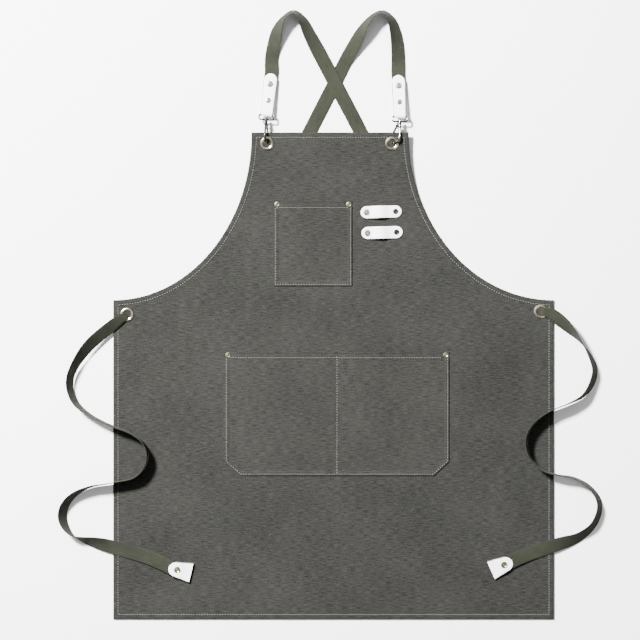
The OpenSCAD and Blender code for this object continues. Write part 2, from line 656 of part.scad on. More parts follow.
// Leather tip i: two layers with the end of the tie between them
tip_z = canvas_top + 0.1;
module at_tip(i) translate([tips_at[i].x, tips_at[i].y, tip_z]) rotate([0, 0, tips_at[i].z])
    children();
module tip_shape() {
    h = 2 * tip_layer_t + webbing_t + 0.1;
    difference() {
        linear_extrude(h) polygon([for (q = concat(
            [for (a = [90:12:270]) [tip_w / 2 * (1 + cos(a)), tip_w / 2 * sin(a)]],
            [[tip_l, -tip_w / 2], [tip_l, tip_w / 2]])) q]);
        translate([-1, -webbing_w / 2 - 0.1, tip_layer_t])
            cube([tip_rivet_x + 9, webbing_w + 0.2, webbing_t + 0.1]);
        translate([tip_rivet_x, 0, -1]) cylinder(h = 10, r = shaft_r + shaft_gap);
    }
}
module tip_rivet() translate([tip_rivet_x, 0, 0.01])
    rivet(2 * tip_layer_t + webbing_t + 0.1, tip_cap_r, 0);
module tie_tip_left() color(leather_color) from_hem() at_tip(0) tip_shape();
module tie_tip_right() color(leather_color) from_hem() at_tip(1) tip_shape();
module tip_rivet_left() color(brass_color) from_hem() at_tip(0) tip_rivet();
module tip_rivet_right() color(brass_color) from_hem() at_tip(1) tip_rivet();

module waist_tie_left() color(webbing_color) from_hem() webbing(tie_left_route);
module waist_tie_right() color(webbing_color) from_hem() webbing(tie_right_route);

canvas_panel();
skirt_hem();
bib_hem();
bib_pocket();
front_pocket();
bib_pocket_rivets();
front_pocket_rivets();
bib_eyelet_left();
bib_eyelet_right();
side_eyelet_left();
side_eyelet_right();
eyelet_washers();
shoulder_strap_left();
shoulder_strap_right();
strap_end_left();
strap_end_right();
tab_left();
tab_right();
tab_rivets_left();
tab_rivets_right();
hook_ring_left();
hook_ring_right();
hook_body_left();
hook_body_right();
hook_gate_left();
hook_gate_right();
gate_pin_left();
gate_pin_right();
gate_spring_left();
gate_spring_right();
loop_strap_upper();
loop_strap_lower();
loop_anchor_upper();
loop_anchor_lower();
loop_rivet_upper();
loop_rivet_lower();
loop_cap_upper();
loop_cap_lower();
loop_stud_upper();
loop_stud_lower();
waist_tie_left();
waist_tie_right();
tie_tip_left();
tie_tip_right();
tip_rivet_left();
tip_rivet_right();
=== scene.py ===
import math

import bpy
import numpy as np
from mathutils import Matrix, Vector, noise


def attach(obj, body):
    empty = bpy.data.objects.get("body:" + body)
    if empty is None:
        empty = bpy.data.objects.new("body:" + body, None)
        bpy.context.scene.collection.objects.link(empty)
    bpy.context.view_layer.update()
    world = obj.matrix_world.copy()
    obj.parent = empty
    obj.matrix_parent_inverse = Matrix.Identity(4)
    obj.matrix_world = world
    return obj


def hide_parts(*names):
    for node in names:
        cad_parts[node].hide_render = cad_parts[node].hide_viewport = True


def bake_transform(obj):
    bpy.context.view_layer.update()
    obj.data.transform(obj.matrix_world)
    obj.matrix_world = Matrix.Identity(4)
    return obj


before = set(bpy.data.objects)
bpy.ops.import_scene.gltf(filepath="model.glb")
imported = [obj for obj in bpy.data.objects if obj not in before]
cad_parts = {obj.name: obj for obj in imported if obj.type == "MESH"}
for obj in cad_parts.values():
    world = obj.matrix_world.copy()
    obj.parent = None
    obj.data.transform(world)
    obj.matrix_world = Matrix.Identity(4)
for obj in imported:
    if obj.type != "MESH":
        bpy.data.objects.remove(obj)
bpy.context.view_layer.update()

# Sizes are in millimetres and Y counts from the hem, as in the CAD source. metres() turns them
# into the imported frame.
MM = 0.001
HEM_Y = -482.8

# The cloth: the canvas lies on the hem's thickness, and slopes up beyond FOLD_Y.
SKIRT_HALF = 350
SIDE_H = 507
PANEL_H = 773
BIB_HALF = 124.5
BIB_SHIFT = -5.5
ARM_DEPTH = PANEL_H - SIDE_H
HEM_T = 2.4
CANVAS_T = 1
CANVAS_TOP = HEM_T + CANVAS_T
FOLD_Y = 672
FOLD_EASE = 20
SLOPE = math.radians(5.5)

WEB_W = 22
WEB_T = 1.4
LEATHER_T = 1.8

# Where the fittings are. Headings are in degrees clockwise from +Y.
HOOKS_AT = [(-108.6, 769.5, 19.2), (104.6, 765.4, 17)]
HOOK_HEADING = [5, 1]
HOOK_DIP = [19, 11]
RING_BAR_Y = 33.5
TAB_DIP = [4.9, 6.9]
TAB_SKEW = [1, -3]
LOOPS_AT = [(75.5, 647), (77, 614.2)]
LOOP_TILT = 1.8
TIPS_AT = [(-261.6, 82.2, -13), (283.3, 92.7, 204)]
SIDES = ["left", "right"]

# Routes of the webbing: x, y, height of its lowest edge, and tilt in degrees. A tie's row ends
# with its width, because its start is gathered in the eyelet.
STRAPS = [
    [
        (-98, 892, 0.3, 0), (-94, 915, 0.1, -15), (-89, 936, 1, -42), (-79, 954, 3, -68),
        (-64, 963, 4, -66), (-50, 951, 3, -48), (-39, 930, 1, -28), (-26, 905, 2, -8),
        (-12, 879, 2, 0), (2, 852, 2, 0), (16, 825, 2, 0), (29, 801, 0.8, 0),
        (42, 776, 0.1, 0), (62, 735, 0.1, 0), (82, 680, 0.1, 0), (98, 620, 0.1, 0),
        (118, 565, 0.1, 0), (152, 512, 0.1, 0), (200, 480, 0.1, 0), (262, 470, 0.1, 0),
        (300, 476, 0.1, 0), (325, 483, 0.1, 0),
    ],
    [
        (103, 884, 0.6, 0), (102, 908, 0.1, 15), (98, 932, 1, 34), (90, 953, 3, 54),
        (77, 963, 4, 68), (62, 957, 4, 70), (47, 938, 3, 50), (33, 912, 0.4, 20),
        (18, 884, 0.1, 0), (2, 852, 0.1, 0), (-12, 825, 0.1, 0), (-36, 778, 0.1, 0),
        (-58, 735, 0.1, 0), (-80, 680, 0.1, 0), (-98, 620, 0.1, 0), (-118, 565, 0.1, 0),
        (-152, 512, 0.1, 0), (-200, 478, 0.1, 0), (-262, 467, 0.1, 0), (-300, 472, 0.1, 0),
        (-325, 480, 0.1, 0),
    ],
]
TIES = [
    [
        (-328, 484, 0.8, 0, 10), (-328.6, 483.6, 2.6, 0, 10), (-331, 481.8, 5.2, -8, 11),
        (-338, 477, 5.4, -18, 15), (-354, 464, 5, -28, 20), (-386, 436, 7, -40, 22),
        (-410, 402, 4, -60, 22), (-418, 374, 2, -65, 22), (-409, 345, 1, -72, 22),
        (-386, 325, 1.5, -84, 22), (-354, 309, 3.6, -88, 22), (-321, 296, 3.6, -90, 22),
        (-301, 280, 3.6, -90, 22), (-295, 260, 3.6, -90, 22), (-301, 240, 3.6, -90, 22),
        (-318, 225, 3.6, -90, 22), (-354, 217, 3.6, -86, 22), (-386, 211, 1.5, -80, 22),
        (-412, 198, 0.1, -68, 22), (-427, 179, 0.1, -58, 22), (-429, 158, 0.1, -60, 22),
        (-418, 138, 0.1, -82, 22), (-402, 129, 0.6, -112, 22), (-374, 121.5, 2.4, -150, 22),
        (-350, 115, 3.6, -170, 22), (-302, 101.5, 4.4, -180, 22),
        (-276, 91.5, 5.05, -180, 22), (-254.8, 80.7, 5.05, -180, 22),
    ],
    [
        (329, 489, 0.8, 0, 10), (329.7, 489, 2.6, 0, 10), (332, 488.6, 5.2, 0, 12),
        (341, 487, 5.4, 8, 16), (353, 480, 4.8, 24, 20), (370, 465, 4, 50, 22),
        (387, 446, 3, 82, 22), (404, 422, 2, 108, 22), (414, 397, 1, 120, 22),
        (409, 374, 0.1, 120, 22), (395, 355, 1, 110, 22), (372, 343, 3, 98, 22),
        (345, 332, 3.6, 96, 22), (322, 316, 3.6, 101, 22), (309, 298, 3.6, 106, 22),
        (306, 278, 3.6, 108, 22), (313, 256, 3.6, 104, 22), (331, 238, 3.6, 96, 22),
        (355, 230, 3, 92, 22), (381, 225, 1, 96, 22), (405, 211, 0.1, 106, 22),
        (420, 190, 0.1, 116, 22), (420, 168, 0.1, 122, 22), (409, 147, 0.1, 126, 22),
        (387, 130, 0.4, 140, 22), (358, 120, 3, 165, 22), (322, 108.5, 4, 180, 22),
        (297, 99.5, 5.05, 180, 22), (276.9, 90, 5.05, 180, 22),
    ],
]


def metres(p):
    return (p[0] * MM, (p[1] + HEM_Y) * MM, p[2] * MM)


# ---- Camera and lights ----

VIEW_W = 1017.6
VIEW_AT = (-21.5, 475.4)
CAMERA_H = 3000
SENSOR = 36

camera_data = bpy.data.cameras.new("camera")
camera_data.sensor_width = SENSOR
camera_data.lens = SENSOR * CAMERA_H / VIEW_W
camera_data.clip_end = 20
camera = bpy.data.objects.new("camera", camera_data)
camera.location = metres((VIEW_AT[0], VIEW_AT[1], CAMERA_H))
bpy.context.collection.objects.link(camera)
bpy.context.scene.camera = camera


def area_light(name, place, size, power):
    data = bpy.data.lights.new(name, "AREA")
    data.shape = "DISK"
    data.size = size
    data.energy = power
    light = bpy.data.objects.new(name, data)
    light.location = place
    light.rotation_euler = (-Vector(place)).to_track_quat("-Z", "Y").to_euler()
    bpy.context.collection.objects.link(light)


area_light("key", place=(-2.0, 2.0, 2.9), size=0.7, power=1450)
area_light("fill", place=(2.2, -1.6, 3.2), size=2.5, power=30)

# The sky is bright towards SKY_BRIGHT and fades to almost nothing behind.
SKY_BRIGHT = (-0.45, 0.45, 0.77)
SKY_FADE = {"From Min": 0.35, "From Max": 1.0, "To Min": 0.05, "To Max": 1.15}

world = bpy.data.worlds.new("studio")
world.use_nodes = True
sky = world.node_tree
background = sky.nodes["Background"]
facing = sky.nodes.new("ShaderNodeVectorMath")
facing.operation = "DOT_PRODUCT"
facing.inputs[1].default_value = SKY_BRIGHT
glow = sky.nodes.new("ShaderNodeMapRange")
for key, value in SKY_FADE.items():
    glow.inputs[key].default_value = value
sky.links.new(sky.nodes.new("ShaderNodeTexCoord").outputs["Generated"], facing.inputs[0])
sky.links.new(facing.outputs["Value"], glow.inputs["Value"])
sky.links.new(glow.outputs[0], background.inputs["Strength"])
background.inputs["Color"].default_value = (1, 1, 1, 1)
bpy.context.scene.world = world


# ---- Materials ----


class Shader:
    """A material being wired: node() adds one node, with its inputs set or linked."""

    def __init__(self, name):
        self.material = bpy.data.materials.new(name)
        self.material.use_nodes = True
        self.tree = self.material.node_tree
        self.bsdf = self.tree.nodes["Principled BSDF"]

    def plug(self, node, inputs):
        for key, value in inputs.items():
            socket = node.inputs[key]
            if isinstance(value, bpy.types.NodeSocket):
                self.tree.links.new(value, socket)
            elif isinstance(value, tuple) and socket.type == "RGBA":
                socket.default_value = (*value, 1)
            else:
                socket.default_value = value

    def node(self, kind, inputs, **settings):
        node = self.tree.nodes.new("ShaderNode" + kind)
        for key, value in settings.items():
            setattr(node, key, value)
        self.plug(node, inputs)
        return node.outputs[0]

    def coords(self, kind):
        return self.tree.nodes.new("ShaderNodeTexCoord").outputs[kind]

    def scaled(self, vector, scale, turn=0):
        return self.node("Mapping", {"Vector": vector, "Scale": scale, "Rotation": (0, 0, turn)})

    def noise(self, vector, scale, detail, rough):
        return self.node(
            "TexNoise",
            {"Vector": vector, "Scale": scale, "Detail": detail, "Roughness": rough},
        )

    def math(self, operation, *values):
        return self.node("Math", dict(enumerate(values)), operation=operation)

    def mix(self, factor, a, b):
        node = self.tree.nodes.new("ShaderNodeMix")
        node.data_type = "RGBA"
        self.plug(node, {0: factor, 6: a, 7: b})
        return node.outputs[2]

    def spread(self, value, low, high, a=0.0, b=1.0):
        """The range from low to high of a value, stretched to a to b."""
        return self.node(
            "MapRange",
            {"Value": value, "From Min": low, "From Max": high, "To Min": a, "To Max": b},
        )

    def bump(self, height, distance, strength):
        return self.node(
            "Bump", {"Height": height, "Distance": distance, "Strength": strength})

    def finish(self, **inputs):
        self.plug(self.bsdf, {key.replace("_", " "): value for key, value in inputs.items()})
        return self.material


def canvas_material(name, dark, light):
    """Plain weave with slubs along X; the cloth's own flat metres are its UVs."""
    s = Shader(name)
    uv = s.coords("UV")
    slub = s.noise(s.scaled(uv, (85, 820, 1)), scale=1, detail=3, rough=0.65)
    warp = s.noise(s.scaled(uv, (820, 200, 1)), scale=1, detail=2, rough=0.6)
    mottle = s.noise(uv, scale=9, detail=4, rough=0.6)
    across = s.node("TexWave", {"Vector": uv, "Scale": 330}, bands_direction="X")
    along = s.node("TexWave", {"Vector": uv, "Scale": 380}, bands_direction="Y")
    weave = s.math("MULTIPLY", across, along)
    tone = s.math("MULTIPLY_ADD", slub, 0.6, s.math("MULTIPLY", warp, 0.2))
    tone = s.math("MULTIPLY_ADD", mottle, 0.16, tone)
    tone = s.math("MULTIPLY_ADD", weave, 0.05, tone)
    colour = s.mix(s.spread(tone, low=0.36, high=0.60), dark, light)
    height = s.math("MULTIPLY_ADD", slub, 0.9, s.math("MULTIPLY", weave, 0.7))
    height = s.math("ADD", height, s.math("MULTIPLY", warp, 0.35))
    return s.finish(
        Base_Color=colour,
        Roughness=0.92,
        Normal=s.bump(height, distance=0.0007, strength=0.55),
        Sheen_Weight=0.02,
        Sheen_Roughness=0.5,
        Specular_IOR_Level=0.08,
    )


def webbing_material(name, dark, light):
    """Twill webbing; U runs along the band and V across it, in metres."""
    s = Shader(name)
    uv = s.coords("UV")
    twill = s.node(
        "TexWave",
        {"Vector": s.scaled(uv, (1, 1, 1), turn=0.9), "Scale": 190, "Distortion": 0.6,
         "Detail": 1.0},
        bands_direction="X",
    )
    rib = s.node("TexWave", {"Vector": uv, "Scale": 420}, bands_direction="X")
    slub = s.noise(s.scaled(uv, (60, 900, 1)), scale=1, detail=3, rough=0.6)
    mottle = s.noise(uv, scale=30, detail=3, rough=0.6)
    tone = s.math("MULTIPLY_ADD", twill, 0.3, s.math("MULTIPLY", slub, 0.5))
    tone = s.math("MULTIPLY_ADD", mottle, 0.25, tone)
    colour = s.mix(s.spread(tone, low=0.3, high=0.8), dark, light)
    height = s.math("MULTIPLY_ADD", rib, 0.3, twill)
    return s.finish(
        Base_Color=colour,
        Roughness=0.88,
        Normal=s.bump(height, distance=0.0006, strength=0.6),
        Sheen_Weight=0.02,
        Sheen_Roughness=0.45,
        Specular_IOR_Level=0.08,
    )


def leather_material(name, dark, light):
    """Grained leather with a thin coat."""
    s = Shader(name)
    spot = s.coords("Object")
    grain = s.node("TexVoronoi", {"Vector": spot, "Scale": 900}, feature="SMOOTH_F1")
    crease = s.noise(spot, scale=420, detail=4, rough=0.6)
    cloud = s.noise(spot, scale=45, detail=3, rough=0.5)
    colour = s.mix(s.spread(cloud, low=0.3, high=0.7), dark, light)
    height = s.math("MULTIPLY_ADD", grain, 0.5, s.math("MULTIPLY", crease, 0.6))
    return s.finish(
        Base_Color=colour,
        Roughness=s.spread(crease, low=0.3, high=0.7, a=0.42, b=0.58),
        Normal=s.bump(height, distance=0.00025, strength=0.35),
        Subsurface_Weight=0.06,
        Subsurface_Radius=(0.002, 0.0015, 0.001),
        Coat_Weight=0.12,
        Coat_Roughness=0.35,
    )


def metal_material(name, dark, light, rough):
    """Plated metal, clouded and finely scratched."""
    s = Shader(name)
    spot = s.coords("Object")
    cloud = s.noise(spot, scale=160, detail=3, rough=0.55)
    scratch = s.noise(s.scaled(spot, (300, 2600, 900)), scale=1, detail=2, rough=0.6)
    return s.finish(
        Base_Color=s.mix(s.spread(cloud, low=0.35, high=0.7), dark, light),
        Metallic=1.0,
        Roughness=s.spread(scratch, low=0.3, high=0.7, a=rough - 0.06, b=rough + 0.1),
        Normal=s.bump(scratch, distance=0.00006, strength=0.4),
    )


CANVAS = canvas_material(
    "canvas_weave", dark=(0.0055, 0.0055, 0.0048), light=(0.026, 0.0258, 0.0232))
POCKET = canvas_material(
    "pocket_weave", dark=(0.006, 0.006, 0.0052), light=(0.027, 0.0268, 0.024))
WEBBING = webbing_material(
    "webbing_twill", dark=(0.008, 0.0088, 0.006), light=(0.0285, 0.0305, 0.0215))
LEATHER = leather_material(
    "white_leather", dark=(0.80, 0.785, 0.815), light=(0.90, 0.885, 0.91))
# The cut edges' colour: partly the leather's own darker edge, partly painted shade standing in
# for the shaded sides of the edges and their contact shadow.
LEATHER_EDGE_AND_SHADE = leather_material(
    "cut_leather_and_painted_shade", dark=(0.045, 0.042, 0.042), light=(0.09, 0.085, 0.085))
# Nickel plate with its base colour darkened well below real nickel. This is painted shade for
# the dark surroundings the hooks and rings reflect. POLISHED is the same plating at its own
# brightness.
NICKEL_PAINTED_DARK = metal_material(
    "nickel_plate_painted_dark", dark=(0.06, 0.06, 0.058), light=(0.15, 0.15, 0.146), rough=0.18)
POLISHED = metal_material(
    "polished_nickel", dark=(0.62, 0.62, 0.6), light=(0.8, 0.8, 0.78), rough=0.16)
BRASS = metal_material(
    "olive_brass", dark=(0.30, 0.27, 0.18), light=(0.55, 0.51, 0.38), rough=0.2)
THREAD = Shader("thread").finish(
    Base_Color=(0.19, 0.19, 0.17), Roughness=0.8, Specular_IOR_Level=0.1)


# ---- Mesh helpers ----


PIECE_SHARP = math.radians(55)
NODE_SHARP = math.radians(35)


def shade(mesh, sharp_angle):
    mesh.shade_smooth()
    mesh.set_sharp_from_angle(angle=sharp_angle)


def piece(name, points, faces, material, uvs=None):
    """A mesh piece from points, and flat coordinates for its UVs, in millimetres."""
    mesh = bpy.data.meshes.new(name)
    mesh.from_pydata([metres(p) for p in points], [], faces)
    if uvs is not None:
        layer = mesh.uv_layers.new(name="flat")
        index = np.empty(len(mesh.loops), int)
        mesh.loops.foreach_get("vertex_index", index)
        layer.data.foreach_set("uv", (np.array(uvs, float)[index] * MM).ravel())
    mesh.update()
    obj = bpy.data.objects.new(name, mesh)
    bpy.context.collection.objects.link(obj)
    mesh.materials.append(material)
    shade(mesh, PIECE_SHARP)
    return obj


def spline(rows, step):
    """Catmull-Rom curve through rows of any numbers, sampled about every step along the first
    three of them."""
    rows = np.array(rows, float)
    rows = np.vstack([2 * rows[0] - rows[1], rows, 2 * rows[-1] - rows[-2]])
    out = []
    for i in range(1, len(rows) - 2):
        p0, p1, p2, p3 = rows[i - 1 : i + 3]
        n = max(1, round(np.linalg.norm(p2[:3] - p1[:3]) / step))
        for k in range(n):
            t = k / n
            out.append(
                0.5 * (2 * p1 + (p2 - p0) * t + (2 * p0 - 5 * p1 + 4 * p2 - p3) * t * t
                       + (3 * p1 - p0 - 3 * p2 + p3) * t ** 3)
            )
    out.append(rows[-2])
    return np.array(out)


def lengths(points):
    """How far along a line each of its points is."""
    steps = np.linalg.norm(np.diff(points, axis=0), axis=1)
    return np.concatenate([[0], np.cumsum(steps)])


def ribbon_parts(centres, wides, thins, halves, thickness, columns, edge, start=0.0,
                 bevel=0.0):
    """A closed strip: wides point across it and thins out of its face. Edges thin down to the
    share edge of its thickness. start is where its flat length counts from. A bevel is the
    share of the half width that its outermost columns take."""
    centres, wides, thins = (np.array(a, float) for a in (centres, wides, thins))
    steps = [2 * k / columns - 1 for k in range(columns + 1)]
    if bevel:
        inner = [(1 - bevel) * (2 * k / (columns - 2) - 1) for k in range(columns - 1)]
        steps = [-1, *inner, 1]
    loop = [(a, 1) for a in steps] + [(a, -1) for a in reversed(steps)]
    run = lengths(centres) + start
    points, uvs, faces = [], [], []
    for c, w, t, half, s in zip(centres, wides, thins, halves, run):
        round_in = min(1.0, thickness / 2 / max(half, 0.01))
        for a, sign in loop:
            inner = max(0.0, (abs(a) - (1 - round_in)) / round_in)
            lift = thickness / 2 * (1 - (1 - edge) * inner ** 2)
            points.append(c + w * a * half + t * sign * lift)
            uvs.append((s, a * half))
    n, m = len(centres), len(loop)
    for i in range(n - 1):
        for j in range(m):
            k = (j + 1) % m
            faces.append((i * m + j, i * m + k, (i + 1) * m + k, (i + 1) * m + j))
    for base, flip in ((0, True), ((n - 1) * m, False)):
        for j in range(columns):
            quad = (base + j, base + j + 1, base + m - 2 - j, base + m - 1 - j)
            faces.append(quad if flip else quad[::-1])
    return points, faces, uvs


# Webbing: columns across it, how thick its edges stay, the spacing of its rows, and the least
# height of its underside.
WEB_COLUMNS = 10
WEB_EDGE = 0.5
WEB_STEP = 2.5
WEB_LOW = 0.05


def band_frames(rows):
    """Centres and directions of webbing along rows of x, y, middle height, tilt, width."""
    centres = rows[:, :3]
    ahead = np.gradient(centres, axis=0)
    ahead /= np.linalg.norm(ahead, axis=1)[:, None]
    side = np.stack([-ahead[:, 1], ahead[:, 0], np.zeros(len(rows))], axis=1)
    side /= np.linalg.norm(side, axis=1)[:, None]
    up = np.cross(ahead, side)
    tilt = np.radians(rows[:, 3])[:, None]
    wide = side * np.cos(tilt) + up * np.sin(tilt)
    thin = up * np.cos(tilt) - side * np.sin(tilt)
    return centres, wide, thin


def half_height(tilt, width):
    """Half the height of webbing of that tilt. Where it is gathered it is thicker."""
    thick = WEB_T * WEB_W / width
    a = np.radians(tilt)
    return np.abs(np.cos(a)) * thick / 2 + np.abs(np.sin(a)) * width / 2


def middle(row):
    """Route row to x, y, height of the webbing's middle, tilt, width."""
    x, y, low, tilt = row[:4]
    width = row[4] if len(row) > 4 else WEB_W
    return (x, y, low + half_height(tilt, width), tilt, width)


def route_rows(rows):
    """Smooth and closely spaced rows, with nothing of the webbing under the surface."""
    rows = spline(rows, WEB_STEP)
    rows[:, 2] = np.maximum(rows[:, 2], half_height(rows[:, 3], rows[:, 4]) + WEB_LOW)
    return rows


def band(name, rows, start=0.0):
    """Webbing along already smooth rows."""
    centres, wide, thin = band_frames(rows)
    points, faces, uvs = ribbon_parts(
        centres, wide, thin, rows[:, 4] / 2, WEB_T, WEB_COLUMNS, WEB_EDGE, start)
    return piece(name, points, faces, WEBBING, uvs)


# ---- Free waist ties ----

tie_pieces = []
for i, side in enumerate(SIDES):
    rows = route_rows([middle(r) for r in TIES[i]])
    tie = band("waist_tie_webbing_" + side, rows)
    tie_pieces.append((tie, rows))
    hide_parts("waist_tie_" + side)
    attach(tie, "apron")


# ---- Leather ----


def turned(origin, heading, dip):
    """Frame at origin with Y along heading (degrees clockwise from +Y), dipping by dip."""
    return (Matrix.Translation(origin) @ Matrix.Rotation(math.radians(-heading), 4, "Z")
            @ Matrix.Rotation(math.radians(-dip), 4, "X"))


def axis_point(i, distance):
    """Point on hook i's long axis."""
    return turned(HOOKS_AT[i], HOOK_HEADING[i], HOOK_DIP[i]) @ Vector((0, distance, 0))


def tab_frame(i):
    """Frame of tab i, at the middle of its ring's bar."""
    return turned(axis_point(i, RING_BAR_Y), HOOK_HEADING[i], TAB_DIP[i])


STRIP_COLUMNS = 12
STRIP_BEVEL = 0.085
STRIP_EDGE = 0.12


def eased(a, b, x):
    """0 up to a, 1 from b on, and smooth between them."""
    t = min(1.0, max(0.0, (x - a) / (b - a)))
    return t * t * (3 - 2 * t)


def chord(radius, offset, least):
    """Half width of a round end at offset from its centre, never quite a point."""
    return math.sqrt(max(radius ** 2 - offset ** 2, least))


def leather_strip(name, frame_at, path, skew=0.0, thickness=LEATHER_T, crossed=False):
    """Leather along path rows of (along, up, half width, normal's angle). Its cut edges are
    dark, partly the leather's own edge colour and partly painted shade for the edges' shaded
    sides and their contact shadow. crossed strips run along the frame's X and are wide along its
    Y; others run along Y."""
    centres, wides, thins, halves = [], [], [], []
    turn = frame_at.to_3x3()
    for along, up, half, angle in path:
        a = math.radians(angle)
        if crossed:
            local = Vector((along, 0, up))
            wide, thin = Vector((0, 1, 0)), Vector((-math.sin(a), 0, math.cos(a)))
        else:
            local = Vector((along * math.tan(math.radians(skew)), along, up))
            wide, thin = Vector((1, 0, 0)), Vector((0, -math.sin(a), math.cos(a)))
        centres.append(frame_at @ local)
        wides.append(turn @ wide)
        thins.append(turn @ thin)
        halves.append(half)
    points, faces, uvs = ribbon_parts(centres, wides, thins, halves, thickness,
                                      STRIP_COLUMNS, STRIP_EDGE, bevel=STRIP_BEVEL)
    strip = piece(name, points, faces, LEATHER, uvs)
    strip.data.materials.append(LEATHER_EDGE_AND_SHADE)
    around = 2 * STRIP_COLUMNS + 2
    # The edge columns and the end caps take the dark edge material: painted shade along the
    # sides, partly the edge's own colour.
    cut = {0, STRIP_COLUMNS - 1, STRIP_COLUMNS, STRIP_COLUMNS + 1, around - 2, around - 1}
    sides = around * (len(path) - 1)
    for face in strip.data.polygons:
        if face.index >= sides or face.index % around in cut:
            face.material_index = 1
    return strip


# The strap tab: length, half widths at its round end and at the ring's bar, and the height of
# its layers. TAB_EASE rows, of (along, up, normal's angle), lead to the wrap around the bar.
TAB_L = 66
TAB_HALF = 10.75
TAB_BAR_HALF = 9.2
TAB_LAYER_Z = 1.72
TAB_WRAP_R = 2.35
TAB_EASE_FROM = 12
TAB_EASE = [(9, 1.78, 2), (6, 1.95, 4), (3, 2.2, 5)]
TAB_ROW = 4


def tab_half(y):
    """The tab's half width at y from the bar."""
    straight_to = TAB_L - TAB_HALF
    if y > straight_to:
        return chord(TAB_HALF, y - straight_to, least=0.3)
    return TAB_BAR_HALF + (TAB_HALF - TAB_BAR_HALF) * max(y, 0) / straight_to


def tab_path():
    """The tab's rows: upper layer, around the bar, lower layer."""
    ends = [TAB_L - TAB_HALF + TAB_HALF * math.cos(math.radians(a)) for a in range(2, 91, 6)]
    body = [ends[-1] - TAB_ROW * k for k in range(1, 12)]
    body = [y for y in body if y > TAB_EASE_FROM]
    upper = [(y, TAB_LAYER_Z, tab_half(y), 0) for y in ends + body]
    ease = [(y, z, tab_half(y), turn) for y, z, turn in TAB_EASE]
    wrap = [
        (-TAB_WRAP_R * math.sin(math.radians(a)), TAB_WRAP_R * math.cos(math.radians(a)),
         TAB_BAR_HALF, a)
        for a in range(0, 181, 12)
    ]
    lower = [(y, -z, half, 180 - turn) for y, z, half, turn in reversed(upper + ease)]
    return upper + ease + wrap + lower


for i, side in enumerate(SIDES):
    tab = leather_strip("tab_leather_" + side, tab_frame(i), tab_path(), TAB_SKEW[i])
    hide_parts("tab_" + side)
    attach(tab, "tab_" + side)

# The tool loop, riveted at +X. It bends beyond LOOP_BEND_X, rises between LOOP_ARCH's first two
# and comes down between its last two.
LOOP_HALF_L = 32.5
LOOP_HALF_W = 10.25
LOOP_STUD_X = -23
LOOP_BEND_X = 15.5
LOOP_BEND_Z = 1.2
LOOP_BEND_EASE = 3
LOOP_ANCHOR_Z = 0.92
LOOP_END_Z = 1.9
LOOP_RISE = 3.6
LOOP_ARCH = (-19, -2, 0, 15)
LOOP_ROW = 1.5
LOOP_PROBE = 0.4


def loop_height(x):
    """Height of the loop's middle over the canvas."""
    if x > LOOP_BEND_X:
        down = 1 - eased(LOOP_BEND_X, LOOP_BEND_X + LOOP_BEND_EASE, x)
        return LOOP_ANCHOR_Z + (LOOP_BEND_Z - LOOP_ANCHOR_Z) * down
    away = min(1.0, (LOOP_BEND_X - x) / (LOOP_BEND_X - LOOP_STUD_X))
    rise_from, rise_to, fall_from, fall_to = LOOP_ARCH
    return (LOOP_BEND_Z + (LOOP_END_Z - LOOP_BEND_Z) * away
            + LOOP_RISE * eased(rise_from, rise_to, x) * (1 - eased(fall_from, fall_to, x)))


def loop_path():
    round_from = LOOP_HALF_L - LOOP_HALF_W
    ends = [round_from + LOOP_HALF_W * math.cos(math.radians(a)) for a in range(3, 91, 6)]
    xs = ends + [round_from - LOOP_ROW * k for k in range(1, 30)]
    xs = [x for x in xs if x > -round_from] + [-x for x in reversed(ends)]
    rows = []
    for x in xs:
        half = chord(LOOP_HALF_W, max(abs(x) - round_from, 0), least=0.3)
        slope = (loop_height(x + LOOP_PROBE) - loop_height(x - LOOP_PROBE)) / (2 * LOOP_PROBE)
        rows.append((x, loop_height(x), half, math.degrees(math.atan(slope))))
    return rows


def loop_frame(i):
    """Frame of tool loop i, on the canvas."""
    x, y = LOOPS_AT[i]
    return Matrix.Translation((x, y, CANVAS_TOP)) @ Matrix.Rotation(
        math.radians(LOOP_TILT), 4, "Z")


for i, level in enumerate(["upper", "lower"]):
    spot = loop_frame(i)
    strip = leather_strip("loop_leather_" + level, spot, loop_path(), crossed=True)
    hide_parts("loop_strap_" + level, "loop_anchor_" + level)
    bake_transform(strip)

# A tie's tip is two layers of leather over the webbing. They come together over TIP_CLOSE.
TIP_L = 36.5
TIP_R = 12
TIP_FLARE = 4
TIP_Z = CANVAS_TOP + 0.1
TIP_LAYER_T = 1.5
TIP_TOP = (3.75, 2.32)
TIP_UNDER = (0.75, 0.78)
TIP_CLOSE = (17, 27)
TIP_ROW = 2.4
TIP_RIM = 0.6


def tip_half(x):
    """A round end that flares to a wide straight one."""
    if x < TIP_R:
        return chord(TIP_R, TIP_R - x, least=0.4)
    return TIP_R + TIP_FLARE * (x - TIP_R) / (TIP_L - TIP_R)


def tip_path(z_root, z_end):
    xs = [TIP_R - TIP_R * math.cos(math.radians(a)) for a in range(4, 91, 7)]
    xs += [TIP_R + TIP_ROW * k for k in range(1, 10)] + [TIP_L - TIP_RIM, TIP_L]
    return [(x, z_root + (z_end - z_root) * eased(*TIP_CLOSE, x), tip_half(x), 0) for x in xs]


for i, side in enumerate(SIDES):
    x, y, heading = TIPS_AT[i]
    spot = Matrix.Translation((x, y, TIP_Z)) @ Matrix.Rotation(math.radians(heading), 4, "Z")
    over = leather_strip("tip_leather_%s_top" % side, spot, tip_path(*TIP_TOP),
                         thickness=TIP_LAYER_T, crossed=True)
    under = leather_strip("tip_leather_%s_under" % side, spot, tip_path(*TIP_UNDER),
                          thickness=TIP_LAYER_T, crossed=True)
    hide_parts("tie_tip_" + side)
    for obj in (over, under):
        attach(obj, "apron")


# ---- Canvas ----

